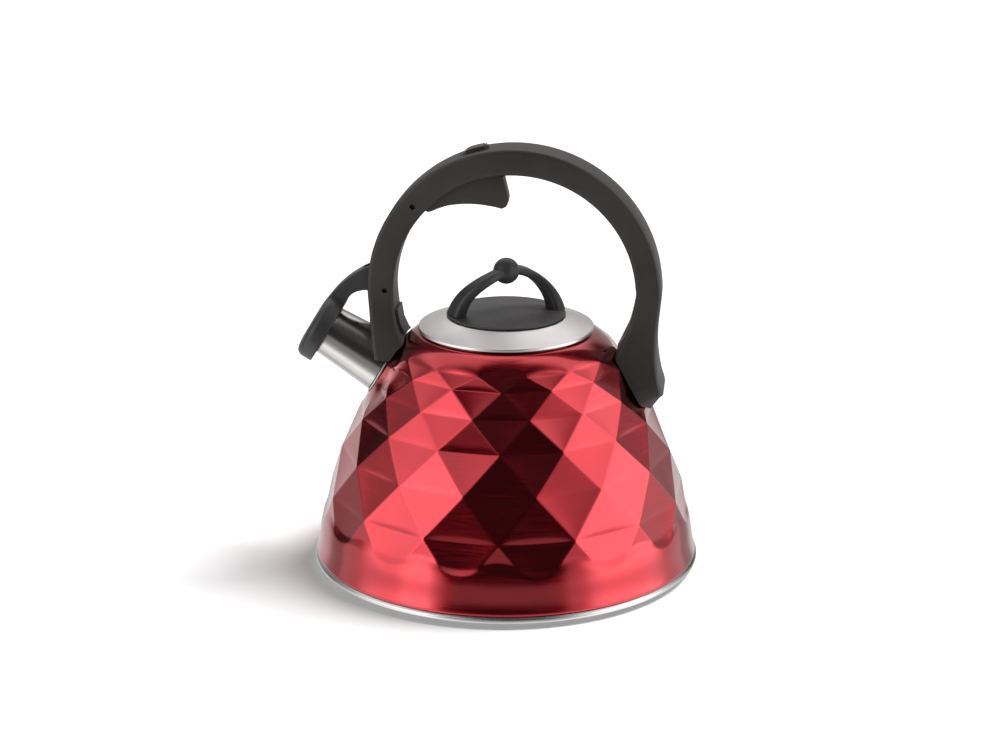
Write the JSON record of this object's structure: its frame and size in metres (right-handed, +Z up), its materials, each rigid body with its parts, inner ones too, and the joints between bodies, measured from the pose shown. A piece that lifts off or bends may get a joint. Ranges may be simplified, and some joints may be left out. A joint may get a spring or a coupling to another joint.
{
  "type": "stovetop kettle",
  "caption": "Stovetop whistling kettle with a faceted body, arched handle, squeeze trigger and lift-up whistle over the spout.",
  "frame": {"origin": "centre of the base's underside, on the surface the kettle stands on", "axes": "+Z up along the body axis, -X towards the spout, +X towards the rear handle foot"},
  "size_m": [0.2289, 0.22, 0.242],
  "materials": {
    "red_metal": "glossy metallic red",
    "steel": "satin",
    "aluminium": "satin",
    "black_plastic": "satin black",
    "silicone": "matte grey"
  },
  "bodies": {
    "kettle": {"body_shell": "red_metal", "base_pan": "steel", "base_capsule": "aluminium", "spout_tube": "steel", "spout_flange": "steel", "spout_strainer": "steel", "handle": "black_plastic", "front_leg_cover": "black_plastic", "front_bracket": "steel", "rear_bracket": "steel", "front_handle_screw": "steel", "rear_handle_screw": "steel", "trigger_pin": "steel", "lever_pin": "steel", "trigger_spring": "steel", "button_spring": "steel"},
    "trigger": {"trigger": "black_plastic"},
    "whistle": {"whistle_lever": "black_plastic", "link_pin": "steel", "whistle_seal": "silicone", "whistle_inner_plate": "steel", "whistle_spacer": "steel", "whistle_outer_plate": "steel"},
    "button": {"thumb_button": "black_plastic"},
    "lid": {"lid_plate": "steel", "lid_skirt": "steel", "lid_seal": "silicone", "knob_base": "black_plastic", "knob_bow": "black_plastic", "knob_screw_front": "steel", "knob_washer_front": "steel", "knob_screw_rear": "steel", "knob_washer_rear": "steel"}
  },
  "joints": [
    {"name": "trigger_squeeze", "type": "hinge", "parent": "kettle", "child": "trigger", "pos_m": [-0.0511, 0, 0.2082], "axis": [0, -1, 0], "range_deg": [0, 6.5], "stiffness_Nm_per_rad": 0.8, "springref_deg": -17.19},
    {"name": "whistle_lift", "type": "hinge", "parent": "kettle", "child": "whistle", "pos_m": [-0.0673, 0, 0.1598], "axis": [0, 1, 0], "range_deg": [0, 30]},
    {"name": "button_press", "type": "slide", "parent": "kettle", "child": "button", "axis": [0, 0, -1], "range_m": [0, 0.002], "stiffness_N_per_m": 400, "springref_m": -0.003, "deforming": ["button_spring"]},
    {"name": "lid_lift", "type": "slide", "parent": "kettle", "child": "lid", "axis": [0, 0, 1], "range_m": [0, 0.024]}
  ],
  "couplings": [
    {"joint": "whistle_lift", "follows": "trigger_squeeze", "ratio": 4.615}
  ]
}
